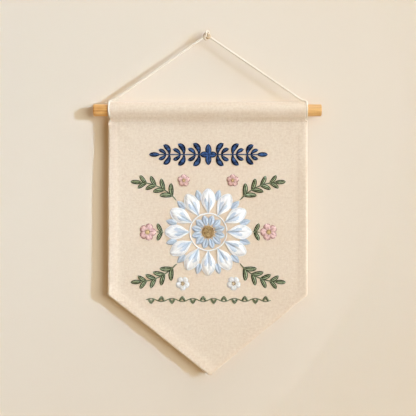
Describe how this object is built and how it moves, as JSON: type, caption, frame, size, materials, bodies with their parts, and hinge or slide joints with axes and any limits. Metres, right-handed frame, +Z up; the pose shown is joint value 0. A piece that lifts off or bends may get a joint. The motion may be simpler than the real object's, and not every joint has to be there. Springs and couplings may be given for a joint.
{
  "type": "embroidered linen pennant on a wooden dowel",
  "caption": "Five-sided linen pennant with raised floral embroidery, hanging by its rod sleeve from a round wooden dowel with a knotted cord.",
  "frame": {"origin": "the point inside the small top loop that bears on the nail", "axes": "+X to the right seen from the front, +Y towards the wall behind the pennant, +Z up"},
  "size_m": [0.2284, 0.0173, 0.3463],
  "materials": {
    "linen": "matt natural linen, plain weave with slubs",
    "wood": "pale hardwood with a light satin oil",
    "cord": "matt twisted cotton",
    "navy_thread": "satin-stitched thread with a soft sheen",
    "white_thread": "satin-stitched thread with a soft sheen",
    "blue_thread": "satin-stitched thread with a soft sheen",
    "green_thread": "satin-stitched thread with a soft sheen",
    "pink_thread": "satin-stitched thread with a soft sheen",
    "ochre_thread": "knotted thread with a soft sheen"
  },
  "bodies": {
    "root": {"pennant_cloth": "linen", "dowel": "wood", "hanging_cord_left": "cord", "hanging_cord_right": "cord", "hanging_knot": "cord", "tie_knot_left": "cord", "tie_knot_right": "cord", "navy_flourish": "navy_thread", "rosette_petals": "white_thread", "rosette_heart": "blue_thread", "rosette_eye": "ochre_thread", "sprig_upper_right": "green_thread", "sprig_upper_left": "green_thread", "sprig_lower_right": "green_thread", "sprig_lower_left": "green_thread", "sprig_right": "green_thread", "sprig_left": "green_thread", "flower_right": "pink_thread", "flower_left": "pink_thread", "flower_upper_right": "pink_thread", "flower_upper_left": "pink_thread", "flower_lower_right": "white_thread", "flower_lower_left": "white_thread", "green_border": "green_thread"}
  },
  "joints": []
}
